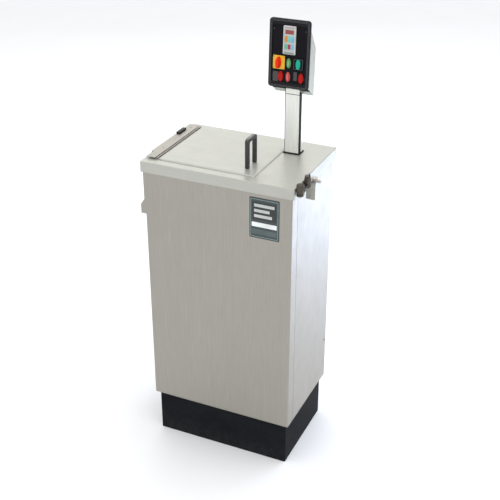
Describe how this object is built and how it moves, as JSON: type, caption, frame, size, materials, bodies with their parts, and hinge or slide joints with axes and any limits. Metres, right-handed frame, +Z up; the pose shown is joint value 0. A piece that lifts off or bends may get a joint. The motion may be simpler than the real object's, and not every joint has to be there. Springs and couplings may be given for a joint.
{
  "type": "parts washer tank",
  "caption": "Floor-standing brushed steel parts washer tank on a dark plinth, with a side-hinged lid, a water tap and a control head on a post.",
  "frame": {"origin": "centre of the underside of the plinth, on the floor", "axes": "+Z up, the front panel faces -Y, +X to the right of a person facing the front"},
  "size_m": [0.5598, 0.3886, 1.4163],
  "materials": {
    "brushed_steel": "brushed stainless sheet, satin",
    "pale_steel": "fine brushed stainless, pale",
    "plinth_black": "matt black powder coat",
    "black_plastic": "fine-textured black plastic",
    "black_rubber": "matt black rubber",
    "brass": "plain turned brass",
    "dark_bronze": "dark oiled bronze",
    "heater_sheath": "heat-tinted tube",
    "grey_plastic": "grey moulded plastic",
    "controller_grey": "light grey moulded case",
    "button_teal": "green moulded cap",
    "button_red": "red moulded cap",
    "lamp_green": "green lens",
    "lamp_red": "pale red lens",
    "plate_yellow": "yellow plate",
    "knob_red": "orange-red grip",
    "display_red": "dark red window"
  },
  "bodies": {
    "cabinet": {"plinth": "plinth_black", "cabinet_floor": "brushed_steel", "front_panel": "brushed_steel", "left_side_panel": "brushed_steel", "right_side_panel": "brushed_steel", "rear_cover": "brushed_steel", "worktop_frame": "brushed_steel", "hinge_leaf_fixed": "brushed_steel", "hinge_pin": "brushed_steel", "hinge_channel": "brushed_steel", "hinge_stop_block": "plinth_black", "inner_tank": "brushed_steel", "tank_cradle": "brushed_steel", "heater_element": "heater_sheath", "heater_flange": "brushed_steel", "temperature_probe": "brushed_steel", "parts_basket": "brushed_steel", "basket_rail_front": "brushed_steel", "basket_rail_rear": "brushed_steel", "drain_cup": "brass", "drain_pipe": "brushed_steel", "drain_valve_body": "brass", "pump_body": "grey_plastic", "pump_motor": "black_plastic", "suction_pipe": "grey_plastic", "delivery_pipe": "grey_plastic", "spray_manifold": "brushed_steel", "float_switch": "brushed_steel", "overflow_duct": "brushed_steel", "overflow_hood": "brushed_steel", "fill_valve_body": "dark_bronze", "valve_bracket": "brushed_steel", "fill_inlet": "pale_steel", "hose_tail": "dark_bronze", "post_gasket": "black_rubber", "control_post": "pale_steel", "post_socket": "brushed_steel", "control_enclosure": "brushed_steel", "control_frame": "black_plastic", "control_plate": "black_plastic", "start_button_bezel": "black_plastic", "running_lamp": "lamp_green", "fault_lamp": "lamp_red", "isolator_plate": "plate_yellow", "temperature_controller": "controller_grey", "controller_display": "display_red", "controller_keypad": "plinth_black", "badge_plate": "plinth_black"},
    "lid_panel": {"lid": "brushed_steel", "lid_gasket": "black_rubber", "lid_handle": "black_plastic", "hinge_leaf_lid": "brushed_steel"},
    "drain_lever": {"drain_valve_lever": "black_plastic"},
    "impeller": {"pump_impeller": "grey_plastic"},
    "float": {"level_float": "grey_plastic"},
    "tap_knob": {"fill_valve_knob": "dark_bronze"},
    "isolator": {"isolator_knob": "knob_red"},
    "start_cap": {"start_button": "button_teal"},
    "heat_cap": {"heat_button": "button_red"},
    "stop_cap": {"stop_button": "button_red"}
  },
  "joints": [
    {"name": "lid_hinge", "type": "hinge", "parent": "cabinet", "child": "lid_panel", "pos_m": [-0.2095, 0, 1.001], "axis": [0, -1, 0], "range_deg": [0, 100]},
    {"name": "drain_lever_turn", "type": "hinge", "parent": "cabinet", "child": "drain_lever", "pos_m": [0, 0.1913, 0.24], "axis": [0, 0, 1], "range_deg": [0, 90]},
    {"name": "impeller_spin", "type": "hinge", "parent": "cabinet", "child": "impeller", "pos_m": [0.12, -0.06, 0.18], "axis": [0, 0, 1], "continuous": true},
    {"name": "float_rise", "type": "slide", "parent": "cabinet", "child": "float", "axis": [0, 0, 1], "range_m": [0, 0.035]},
    {"name": "tap_turn", "type": "hinge", "parent": "cabinet", "child": "tap_knob", "pos_m": [0.2622, -0.16, 0.99], "axis": [0, 0, 1], "range_deg": [0, 90]},
    {"name": "isolator_turn", "type": "hinge", "parent": "cabinet", "child": "isolator", "pos_m": [0.1113, 0.03324, 1.29039], "axis": [0, 0.9986, -0.0536], "range_deg": [0, 90]},
    {"name": "start_press", "type": "slide", "parent": "cabinet", "child": "start_cap", "axis": [0, 0.9986, -0.0536], "range_m": [0, 0.003], "stiffness_N_per_m": 400, "springref_m": -0.002},
    {"name": "heat_press", "type": "slide", "parent": "cabinet", "child": "heat_cap", "axis": [0, 0.9986, -0.0536], "range_m": [0, 0.003], "stiffness_N_per_m": 400, "springref_m": -0.002},
    {"name": "stop_press", "type": "slide", "parent": "cabinet", "child": "stop_cap", "axis": [0, 0.9986, -0.0536], "range_m": [0, 0.003], "stiffness_N_per_m": 400, "springref_m": -0.002}
  ]
}
